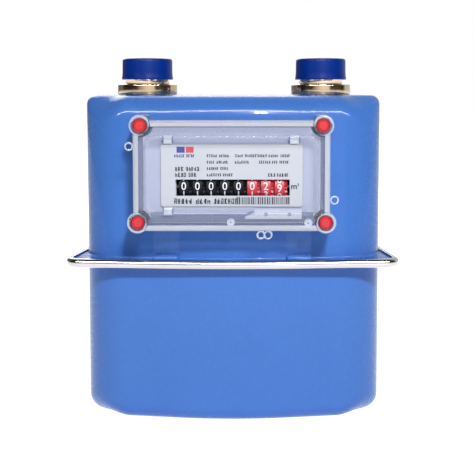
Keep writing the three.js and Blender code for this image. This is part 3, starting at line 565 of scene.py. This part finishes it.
def make_cap(name, x):
    """Soft dust cap: a slightly belled skirt, a rounded crown and a thin lip at the mouth."""
    mouth, top = low(f"{name}_cap").z, high(f"{name}_cap").z
    outer = (high(f"{name}_cap").x - low(f"{name}_cap").x) / 2
    inner, roof = THREAD_MAJOR + 0.2, top - 1.2
    crown = 1.6
    profile = [(AXIS, top), (outer * 0.6, top - 0.05)]
    profile += arc((outer - 0.45 - crown, top - 0.15 - crown), crown, 84, 0, 8)
    profile += [(outer - 0.4, mouth + 5), (outer - 0.25, mouth + 2.4), (outer - 0.03, mouth + 1.2)]
    profile += arc((outer - 0.35, mouth + 0.35), 0.35, 0, -90, 3)
    profile += [(inner + 0.2, mouth), (inner, mouth + 0.3), (inner, roof - 0.6), (inner - 0.6, roof),
                (AXIS, roof)]
    cap = Shape().turned(profile, (x, CONNECTION_Y, 0), sides=96).object(f"{name}_dust_cap", [CAP])
    settle(cap, f"{name}_cap", "cap_plastic", f"{name}_cap")


# ---- index cover ------------------------------------------------------------------------------


def rectangle_ring(x0, x1, z0, z1, radius, y, steps=8):
    """A rounded rectangle facing the front, in the index frame, at depth y behind the cover's face."""
    ring = []
    for cx, cz, start in ((x1 - radius, z1 - radius, 0), (x0 + radius, z1 - radius, 90),
                          (x0 + radius, z0 + radius, 180), (x1 - radius, z0 + radius, 270)):
        ring += [INDEX + Vector((x, y, z)) for x, z in arc((cx, cz), radius, start, start + 90, steps)]
    return ring


def cover_ring(inset, y, radius):
    return rectangle_ring(inset - COVER["half"], COVER["half"] - inset, COVER["low"] + inset,
                          COVER["high"] - inset, radius, y)


def window_ring(inset, y, radius):
    return rectangle_ring(inset - WINDOW["half"], WINDOW["half"] - inset, WINDOW["low"] + inset,
                          WINDOW["high"] - inset, radius, y)


def case_block(ahead):
    """The upper case as one solid, moved forward, for cutting pieces that lie against it."""
    rings = [level(CASE_LINE, 0, JOINT_Z)] + drawn_rings(CASE_TOP, 1, UPPER_EDGE, 0)
    shifted = [[point - Vector((0, ahead, 0)) for point in ring] for ring in rings]
    return Shape().loft(shifted).object("tool", [])


def sealing_eye(x, z):
    """A small ring for a sealing wire, facing the front."""
    wire = arc((EYE["radius"], EYE["y"]), EYE["wire"], 0, 330, 11)
    return Shape().turned(wire, INDEX + Vector((x, 0, z)), "y", 28).object("eye", [])


def make_cover():
    """Clear moulded cover: skirt, rounded rim, groove, raised window, screw posts and sealing eyes."""
    wall, back = COVER_WALL, COVER_DEPTH
    rim, groove = 3.6, 1.3                           # rim's width, and depth of the groove inside it
    round_rim, round_window = 1.9, 1.2
    outer = [cover_ring(0, back, 4)]
    for across, along in arc((round_rim, round_rim), round_rim, 180, 270, 5):
        outer.append(cover_ring(across, along, 4 - across * 0.6))
    for across, along in arc((rim - 0.7, 0.7), 0.7, -90, 0, 4):
        outer.append(cover_ring(across, along, 3.2))
    outer.append(cover_ring(rim + 0.2, groove, 3))
    outer.append(window_ring(-0.8, groove, 5.8))
    outer.append(window_ring(-0.3, groove - 0.5, 5.3))
    for across, along in arc((round_window, round_window - WINDOW["rise"]), round_window, 180, 270, 6):
        outer.append(window_ring(across, along, 5 - across * 0.5))
    inner = [window_ring(wall + 1.2, wall - WINDOW["rise"], 3),
             window_ring(wall, wall + 0.9 - WINDOW["rise"], 4),
             window_ring(wall - 0.6, groove + wall, 4.4), cover_ring(wall + 0.8, groove + wall, 2.2),
             cover_ring(wall, groove + wall + 0.8, 3), cover_ring(wall, back, 3)]
    clears = [CLEAR_FACE, CLEAR_RIM, CLEAR_EDGE_HIGHLIGHT, CLEAR_STEP_SHADE]
    cover = Shape().loft(outer + inner, loop=True).object("clear_cover", clears)
    posts, bores = [], []
    for x, z in COVER_SCREWS:
        centre = INDEX + Vector((x, 0, z))
        skirt = [(BOSS, back)] + arc((BOSS - 1, 0.4), 1, 0, -90, 5)
        posts.append(Shape().turned(skirt, centre, "y", 48, loop=False).object("post", []))
        hollow = [(BOSS - 1.1, back + 2), (BOSS - 1.1, 8)]
        bores.append(Shape().turned(hollow, centre, "y", 48, loop=False).object("hollow", []))
        recess = [(4.6, -3), (4.5, 2.6), (2.9, 2.61), (2.9, 5.6), (1.9, 5.61), (1.9, 10)]
        bores.append(Shape().turned(recess, centre, "y", 48, loop=False).object("recess", []))
    combine(cover, "UNION", *posts)
    eyes = [sealing_eye(x, z) for x, z in COVER_EYES]
    combine(cover, "UNION", *eyes)
    combine(cover, "DIFFERENCE", *bores, case_block(CLEARANCE))
    even_shading(cover)
    paint_cover(cover)
    settle(cover, "meter", "clear_plastic", "index_cover")


def paint_cover(cover):
    """Makes the cover's lip and outer walls whiter than its window, a painted highlight for the bright look
    of thicker, slanted plastic, and the window's raised step darker, a painted shade.
    """
    face, rim, edge, step = range(4)
    centre = INDEX + Vector((0, 20, (WINDOW["low"] + WINDOW["high"]) / 2))
    for polygon in cover.data.polygons:
        place = polygon.center / MM - centre
        outside = WINDOW["half"] - abs(place.x), (WINDOW["high"] - WINDOW["low"]) / 2 - abs(place.z)
        flat = polygon.normal.y < -0.98
        if polygon.normal.y > 0.1 or polygon.normal.dot(place) < 0 or flat and min(outside) > 1:
            polygon.material_index = face
        elif flat and min(COVER["half"] - abs(place.x), COVER["high"] - abs(place.z)) > LIP:
            polygon.material_index = rim
        else:
            # edge faces take the painted highlight, step faces the painted shade
            polygon.material_index = step if min(outside) > -1 else edge


def prism(shape, corners, front, back, paint):
    """A straight-sided block from [x, z] corners in the index frame, between two depths."""
    rings = [[INDEX + Vector((x, depth, z)) for x, z in corners] for depth in (front, back)]
    shape.loft(rings, paint)


def make_base():
    """Mounting base: the frame's own body with a light carrier face and darker sides, plus clips and ledges
    round the dial; the darker grey of the sides, of slivers beside the clips, of a strip under the dial and
    of rings on the bracket is painted shade.
    """
    tray, grey, white = range(3)
    node = frame["nodes"]["index_base"]
    points = [node.matrix_world @ vertex.co / MM for vertex in node.data.vertices]
    shape = Shape()
    face_y = low("index_base").y
    for polygon in node.data.polygons:
        corners = [points[corner] for corner in polygon.vertices]
        front = all(corner.y < face_y + 0.2 for corner in corners)
        # front faces take the light tray colour, the others the darker grey that paints in shade
        shape.add(corners, [range(len(corners))], tray if front else grey)
    plate = face_y - INDEX.y
    dial_front = low("dial_plate").y - INDEX.y
    for x0, x1, z0, z1 in CLIPS:
        shape.block(INDEX + Vector((x0, dial_front - 1.6, z0)), INDEX + Vector((x1, plate + 0.2, z1)),
                    0.5, white)
        # thin dark slivers at both sides of each clip, in the darker grey: painted shadow beside the clips
        for x in (x0, x1):
            shape.block(INDEX + Vector((x - 0.35, dial_front - 1.9, z0 + 0.6)),
                        INDEX + Vector((x + 0.35, plate + 0.1, z1 - 0.6)), 0.2, grey)
    # dark strip under the dial: painted shade
    prism(shape, SHADE_STRIP, plate - 0.25, plate + 0.2, grey)
    prism(shape, LEDGE, dial_front + 0.2, plate + 0.2, tray)
    prism(shape, BRACKET, dial_front - 0.9, plate + 0.2, white)
    gate = [(0.5, 3.4), (2.0, 3.4), (2.3, 3.8), (2.3, plate), (1.9, plate), (1.6, 4.2), (0.9, 4.2), (0.5, 4)]
    for x, z in GATES:
        shape.turned(gate, INDEX + Vector((x, 0, z)), "y", 28, white)
    # dark rings for the bracket's two holes, which are not cut: painted shade
    rim = [(0.45, -0.1), (1.0, -0.1), (1.0, 0.3), (0.45, 0.3)]
    for x, z in BRACKET_HOLES:
        shape.turned(rim, INDEX + Vector((x, dial_front - 1.1, z)), "y", 20, grey)
    base = shape.object("mounting_base", [TRAY, BASE_PAINTED_SHADE, CLIP_WHITE], smooth=30)
    settle(base, "meter", "grey_plastic", "index_base")


# ---- dial -------------------------------------------------------------------------------------


def text_shape(letters, height, width_scale, depth, weight):
    """A closed low relief of letters centred on the origin, as (points, faces) in millimetres."""
    curve = bpy.data.curves.new("letters", "FONT")
    curve.body = letters
    curve.extrude = 0.5
    curve.offset = weight
    curve.resolution_u = 5
    holder = bpy.data.objects.new("letters", curve)
    bpy.context.scene.collection.objects.link(holder)
    bpy.context.view_layer.update()
    mesh = evaluated_mesh(holder)
    bpy.data.objects.remove(holder)
    xs = [vertex.co.x for vertex in mesh.vertices]
    ys = [vertex.co.y for vertex in mesh.vertices]
    scale = height / (max(ys) - min(ys))
    centre = Vector(((max(xs) + min(xs)) / 2, (max(ys) + min(ys)) / 2, 0))
    points = []
    for vertex in mesh.vertices:
        place = vertex.co - centre
        points.append(Vector((place.x * scale * width_scale, place.y * scale, place.z * 2 * depth)))
    return points, [list(polygon.vertices) for polygon in mesh.polygons]


def sliced(points, faces, step):
    """The same shape cut across every `step` millimetres of its height, so that it can be bent."""
    work = bmesh.new()
    vertices = [work.verts.new(point) for point in points]
    for face in faces:
        if len(set(face)) == len(face):
            try:
                work.faces.new([vertices[corner] for corner in face])
            except ValueError:
                continue
    bmesh.ops.remove_doubles(work, verts=work.verts, dist=0.0001)
    reach = max(abs(point.y) for point in points)
    for number in range(-int(reach / step), int(reach / step) + 1):
        geometry = work.verts[:] + work.edges[:] + work.faces[:]
        bmesh.ops.bisect_plane(work, geom=geometry, plane_co=(0, number * step, 0), plane_no=(0, 1, 0))
    work.verts.index_update()
    points = [vertex.co.copy() for vertex in work.verts]
    faces = [[vertex.index for vertex in face.verts] for face in work.faces]
    work.free()
    return points, faces


def toothed_ring(shape, centre, start, end):
    """The carry teeth beside a drum: a bored ring whose rim goes from root to tip and back."""
    rings = []
    for along, toothed in ((start, False), (start, True), (end, True), (end, False)):
        ring = []
        for step in range(2 * RING_TEETH):
            reach = (RING_ROOT, RING_TIP)[step % 2] if toothed else WHEEL_BORE
            angle = math.pi * step / RING_TEETH
            ring.append(centre + Vector((along, reach * math.sin(angle), -reach * math.cos(angle))))
        rings.append(ring)
    shape.loft(rings, loop=True)


def make_wheels():
    """Number wheels with ten raised white digits each and a toothed ring beside the drum."""
    digit_shapes = [sliced(*text_shape(str(digit), DIGIT_HEIGHT, 0.95, 0.04, 0.006), 0.6)
                    for digit in range(DIGITS)]
    for number in range(WHEEL_COUNT):
        node = f"number_wheel_{number + 1}"
        centre = middle(node)
        radius = (high(node).z - low(node).z) / 2
        left, right = low(node).x - centre.x, high(node).x - centre.x
        drum_end = right - RING_WIDTH
        shape = Shape()
        profile = [(WHEEL_BORE, left), (radius - 0.3, left), (radius, left + 0.3), (radius, drum_end - 0.3),
                   (radius - 0.3, drum_end), (WHEEL_BORE, drum_end)]
        shape.turned(profile, centre, "x", 80)
        toothed_ring(shape, centre, drum_end - 0.05, right)
        reading = WHEEL_READING[number] + WHEEL_LIFT
        drum_centre = (left + drum_end) / 2
        for digit in range(DIGITS):
            turn = (reading - digit) * 2 * math.pi / DIGITS
            points, faces = digit_shapes[digit]
            wrapped = []
            for point in points:
                angle = turn + point.y / radius
                reach = radius + DIGIT_LIFT + point.z
                wrapped.append(centre + Vector((drum_centre + point.x, -reach * math.cos(angle),
                                                reach * math.sin(angle))))
            shape.add(wrapped, faces, 1)
        colour, slot = (WHEEL_BLACK, "wheel_black") if number < BLACK_WHEELS else (WHEEL_RED, "wheel_red")
        settle(shape.object(f"{node}_drum", [colour, DIGIT_WHITE], smooth=30), node, slot, node)


def make_dial():
    """Dial plate with its slot and generic printed marks that stand for the real one's lettering."""
    low_corner, high_corner = low("dial_plate") - INDEX, high("dial_plate") - INDEX
    front, back = low_corner.y, high_corner.y
    slot_middle = middle("number_wheel_1").z - INDEX.z
    slot = (DIAL_SLOT["left"], DIAL_SLOT["right"], slot_middle - DIAL_SLOT["half"],
            slot_middle + DIAL_SLOT["half"], 0.4)
    plate = (low_corner.x, high_corner.x, low_corner.z, high_corner.z, 1.2)
    shrunk = (plate[0] + 0.2, plate[1] - 0.2, plate[2] + 0.2, plate[3] - 0.2, 1.0)
    rings = [rectangle_ring(*slot, back), rectangle_ring(*slot, front), rectangle_ring(*shrunk, front),
             rectangle_ring(*plate, front + 0.2), rectangle_ring(*plate, back)]
    shape = Shape().loft(rings, loop=True)
    draw = random.Random(7)
    black, blue, red = 1, 2, 3

    def mark(x, z, width, height, paint):
        corner = INDEX + Vector((x, front - 0.03, z))
        shape.block(corner, corner + Vector((width, 0.05, height)), paint=paint)

    def letter(x, z, width, height, paint):
        """Two stems with one or two bars between them, at random heights."""
        stem = height * 0.2
        for offset in draw.sample((0, width / 2 - stem / 2, width - stem), 2):
            mark(x + offset, z, stem, height * draw.choice((1, 1, 0.7)), paint)
        for share in draw.sample((0, 0.42, 0.83), draw.choice((1, 2))):
            mark(x, z + height * share, width, stem, paint)

    def words(x, z, end, height, paint=black):
        """A row of made-up letters that reads as a line of print from a distance."""
        while x < end:
            for _ in range(draw.randint(3, 7)):
                width = height * draw.uniform(0.48, 0.62)
                letter(x, z, width, height, paint)
                x += width + height * 0.16
            x += height * draw.uniform(0.4, 0.7)

    for (x, width), paint in zip(EMBLEMS, (blue, red)):
        mark(x, EMBLEM_LOW, width, EMBLEM_HEIGHT, paint)
    words(-32.4, 9.2, -22, 1.7, blue)
    words(-31.8, 1.5, -21, 2.3)
    words(-31.8, -1.8, -21, 2.3)
    for row, groups in enumerate(PRINT_GROUPS):
        for start, end in groups:
            words(start, PRINT_TOP - row * PRINT_STEP, end, PRINT_HEIGHT)
    words(20.5, -1.7, 26, 1.9)
    words(-32.6, -17.1, -6, 3.0)
    bar = BARS["start"]
    while bar < BARS["end"]:
        width = draw.choice((0.3, 0.5, 0.8))
        mark(bar, BARS["low"], width, BARS["height"], black)
        bar += width + draw.choice((0.3, 0.4, 0.5))
    for letters, height, x, lift in (("m", 2.3, 35.1, 0.3), ("3", 1.5, 37.5, 1.7)):
        points, faces = text_shape(letters, height, 1.05, 0.03, 0.03)
        printed = [INDEX + Vector((x + point.x, front - 0.01 - point.z, slot_middle + lift + point.y))
                   for point in points]
        shape.add(printed, faces, black)
    dial = shape.object("printed_dial", [DIAL_WHITE, INK, INK_BLUE, INK_RED])
    settle(dial, "meter", "dial_white", "dial_plate")


def make_plugs():
    """Red seal plugs with a raised rim, a ring groove and a small centre dimple."""
    for number in range(1, len(COVER_SCREWS) + 1):
        node = f"seal_plug_{number}"
        centre = middle(node)
        front, back = low(node).y - centre.y, high(node).y - centre.y
        radius = (high(node).x - low(node).x) / 2
        edge = radius - 0.8
        core = [(AXIS, front + 0.9), (0.9, front + 0.9), (1.1, front + 0.6), (2.2, front + 0.6),
                (2.5, front + 0.9), (edge - 0.3, front + 0.4), (edge, front + 0.6),
                (edge, back), (AXIS, back)]
        rim = [(edge, back), (edge, front + 0.5)]
        rim += arc((radius - 0.35, front + 0.35), 0.35, -150, 0, 5) + [(radius, back)]
        plug = Shape().turned(core, centre, "y", 56).turned(rim, centre, "y", 56, 1)
        settle(plug.object(f"{node}_cap", [SEAL_RED, SEAL_DARK]), "meter", "seal_red", node)


# ---- what stays as the CAD made it ------------------------------------------------------------

SLOT_MATERIALS = {
    "case_paint": PAINT, "band_steel": BAND_STEEL, "seal_rubber": RUBBER, "zinc_yellow": ZINC,
    "cap_plastic": CAP, "clear_plastic": CLEAR_FACE, "seal_red": SEAL_RED, "dial_white": DIAL_WHITE,
    "wheel_black": WHEEL_BLACK, "wheel_red": WHEEL_RED, "grey_plastic": GREY, "white_plastic": WHITE,
    "steel": STEEL, "brass": BRASS, "diaphragm_fabric": FABRIC,
}


def dress_frame():
    """Each CAD node takes the finish of its slot in the record."""
    slot_of = {part["node"]: part["material_slot"] for part in frame["record"]["subparts"]}
    for name, node in frame["nodes"].items():
        material = SLOT_MATERIALS[slot_of[name]]
        for place in node.material_slots:
            place.material = material


# ---- studio -----------------------------------------------------------------------------------


WORLD_RAMP = [(0.06, 1.0), (0.1, 0.05), (0.57, 0.03), (0.66, 0.75)]   # brightness from front to back
WORLD_FILL = 0.16


def make_floor():
    """A wide pale floor under the meter, which glows but throws little light back up."""
    reach = 6000
    shape = Shape().block((-reach, -reach, -60), (reach, reach, 0))
    pale = finish("floor_pale", (0.86, 0.86, 0.87, 1), (0.9, 0.9, 0.9, 1), (0.6, 0.8), grain=12, bump=0)
    shader = pale.node_tree.nodes["Principled BSDF"]
    shader.inputs["Emission Color"].default_value = (1, 1, 1, 1)
    shader.inputs["Specular IOR Level"].default_value = 0.1
    nodes, links = pale.node_tree.nodes, pale.node_tree.links
    seen = nodes.new("ShaderNodeLightPath")
    glow = nodes.new("ShaderNodeMapRange")
    glow.inputs["To Min"].default_value = 1.0
    glow.inputs["To Max"].default_value = 0.1
    links.new(seen.outputs["Is Diffuse Ray"], glow.inputs["Value"])
    links.new(glow.outputs["Result"], shader.inputs["Emission Strength"])
    shape.object("floor", [pale])


def area_light(name, place, target, size, power, diffuse=True):
    """A rectangular light aimed at a target; without diffuse it shows only as a reflection."""
    light = bpy.data.lights.new(name, "AREA")
    light.shape = "RECTANGLE"
    light.size, light.size_y = size
    light.energy = power
    lamp = bpy.data.objects.new(name, light)
    lamp.location = place
    lamp.rotation_euler = (Vector(target) - Vector(place)).to_track_quat("-Z", "Y").to_euler()
    lamp.visible_diffuse = diffuse
    bpy.context.scene.collection.objects.link(lamp)


def make_world():
    """A white studio: bright behind the meter and round the camera, dark at both sides.

    It is white where the camera sees it, and lights dull surfaces only a little."""
    world = bpy.data.worlds.new("studio")
    bpy.context.scene.world = world
    world.use_nodes = True
    nodes, links = world.node_tree.nodes, world.node_tree.links
    backdrop = nodes["Background"]
    backdrop.inputs["Color"].default_value = (1, 1, 1, 1)
    place = nodes.new("ShaderNodeTexCoord")
    split = nodes.new("ShaderNodeSeparateXYZ")
    links.new(place.outputs["Generated"], split.inputs["Vector"])
    halves = nodes.new("ShaderNodeMapRange")
    halves.inputs["From Min"].default_value = -1
    links.new(split.outputs["Y"], halves.inputs["Value"])
    ramp = nodes.new("ShaderNodeValToRGB")
    ramp.color_ramp.elements.remove(ramp.color_ramp.elements[1])
    ramp.color_ramp.elements[0].color = (1, 1, 1, 1)
    for position, value in WORLD_RAMP:
        ramp.color_ramp.elements.new(position).color = (value, value, value, 1)
    links.new(halves.outputs["Result"], ramp.inputs["Fac"])
    seen = nodes.new("ShaderNodeLightPath")
    side = nodes.new("ShaderNodeMapRange")
    for socket, value in (("From Min", -0.5), ("From Max", 0.0), ("To Min", 0.25), ("To Max", 1.0)):
        side.inputs[socket].default_value = value
    links.new(split.outputs["X"], side.inputs["Value"])
    dimmed = nodes.new("ShaderNodeMath")
    dimmed.operation = "MULTIPLY"
    links.new(ramp.outputs["Color"], dimmed.inputs[0])
    links.new(side.outputs["Result"], dimmed.inputs[1])
    strength = dimmed.outputs["Value"]
    for ray, value in (("Is Diffuse Ray", WORLD_FILL), ("Is Camera Ray", 1.0)):
        choose = nodes.new("ShaderNodeMix")
        choose.inputs["B"].default_value = value
        links.new(seen.outputs[ray], choose.inputs["Factor"])
        links.new(strength, choose.inputs["A"])
        strength = choose.outputs["Result"]
    links.new(strength, backdrop.inputs["Strength"])


def make_studio():
    make_world()
    aim = (0, 0, 0.12)
    area_light("key", (0.2, -1.15, 0.78), aim, size=(0.12, 0.12), power=12.8)
    area_light("top_strip", (0, -0.95, 0.86), (0, -0.05, 0.18), size=(2.6, 0.12), power=40, diffuse=False)
    area_light("back_fill", (-0.3, 1.3, 0.9), aim, size=(1.0, 1.0), power=9)
    make_camera()
    bpy.context.scene.view_settings.view_transform = "Standard"


def make_camera():
    camera = bpy.data.objects.new("camera", bpy.data.cameras.new("camera"))
    camera.data.lens = FOCAL_LENGTH
    camera.data.sensor_width = 36
    camera.data.clip_start = 0.05
    camera.data.clip_end = 50
    camera.data.shift_x, camera.data.shift_y = LENS_SHIFT
    camera.location = (CAMERA_RIGHT * MM, (CONNECTION_Y - CAMERA_DISTANCE) * MM,
                       (CASE_TOP + CAMERA_ABOVE_CASE) * MM)
    camera.rotation_euler = (math.pi / 2 - CAMERA_TILT, 0, 0)
    bpy.context.scene.collection.objects.link(camera)
    bpy.context.scene.camera = camera


dress_frame()
make_case()
make_band()
for connection, place in (("inlet", -CONNECTION_X), ("outlet", CONNECTION_X)):
    make_boss(connection, place)
    make_cap(connection, place)
make_cover()
make_base()
make_dial()
make_wheels()
make_plugs()
make_floor()
make_studio()
